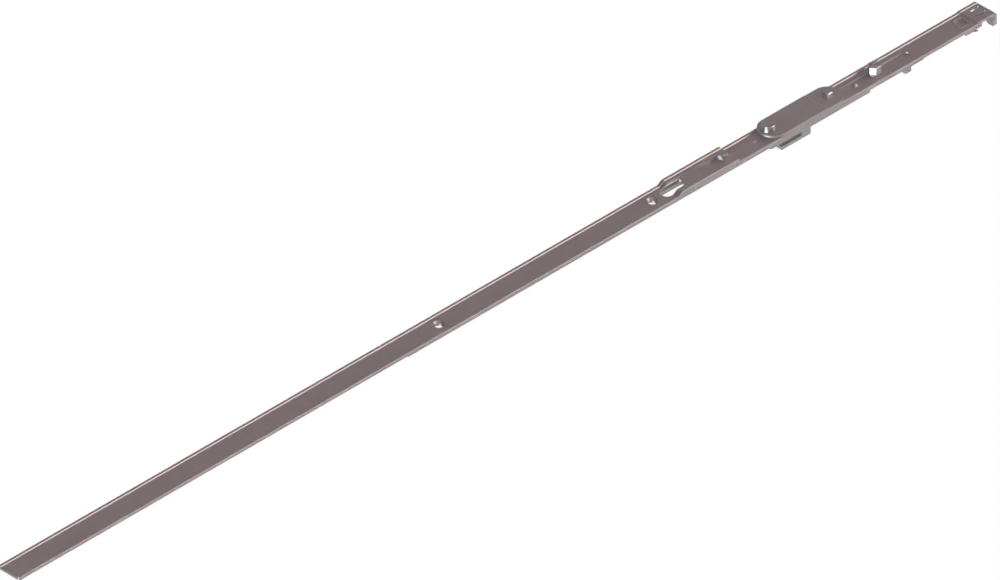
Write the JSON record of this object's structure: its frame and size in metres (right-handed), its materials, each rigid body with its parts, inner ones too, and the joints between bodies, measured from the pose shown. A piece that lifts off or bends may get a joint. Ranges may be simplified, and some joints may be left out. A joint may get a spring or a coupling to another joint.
{
  "type": "tilt and turn espagnolette",
  "caption": "Window lock rail: ribbed faceplate over a sliding rod with a cam, a swinging stay link, a keyhole bridge with a catch slide and a coupling end.",
  "frame": {"origin": "midway between the two screw holes, on the faceplate's back, which lies on the sash", "axes": "+X along the rail to the coupling end, +Z out of the groove along the screw axes, -Y to the side seen in the picture"},
  "size_m": [0.7316, 0.0172, 0.0168],
  "materials": {
    "zinc_strip": "zinc plated, satin",
    "zinc_bar": "zinc plated, satin",
    "zinc_pressing": "zinc plated, satin",
    "zinc_casting": "die cast zinc, matt",
    "rivet_steel": "zinc plated",
    "bright_pin": "turned, zinc plated",
    "bright_cam": "drawn, zinc plated"
  },
  "bodies": {
    "sash_rail": {"faceplate": "zinc_strip", "backing_plate": "zinc_bar", "backing_post": "rivet_steel", "support_block": "zinc_casting", "support_rivets": "rivet_steel", "pivot_pin": "bright_pin", "pivot_spacer": "bright_pin", "pivot_washer": "bright_pin", "rod_guide_rivets": "rivet_steel", "end_guide": "zinc_pressing"},
    "rod": {"drive_rod": "zinc_bar", "cam_stem": "bright_pin", "cam_washer": "bright_pin", "rod_guide_block": "zinc_casting", "guide_block_rivet": "rivet_steel"},
    "cam": {"cam_roller": "bright_cam"},
    "link": {"link_plate": "zinc_pressing", "link_doubler": "zinc_pressing", "link_stud": "bright_pin"},
    "catch": {"catch_slide": "zinc_pressing"}
  },
  "joints": [
    {"name": "rod_slide", "type": "slide", "parent": "sash_rail", "child": "rod", "axis": [1, 0, 0], "range_m": [-0.019, 0.019]},
    {"name": "cam_turn", "type": "hinge", "parent": "rod", "child": "cam", "pos_m": [0.2485, 0, 0.0042], "axis": [0, 0, 1], "range_deg": [-90, 90]},
    {"name": "link_swing", "type": "hinge", "parent": "sash_rail", "child": "link", "pos_m": [0.213, 0, 0.0032], "axis": [0, 0, 1], "range_deg": [0, 90]},
    {"name": "catch_slide_travel", "type": "slide", "parent": "sash_rail", "child": "catch", "axis": [1, 0, 0], "range_m": [-0.01, 0]}
  ]
}
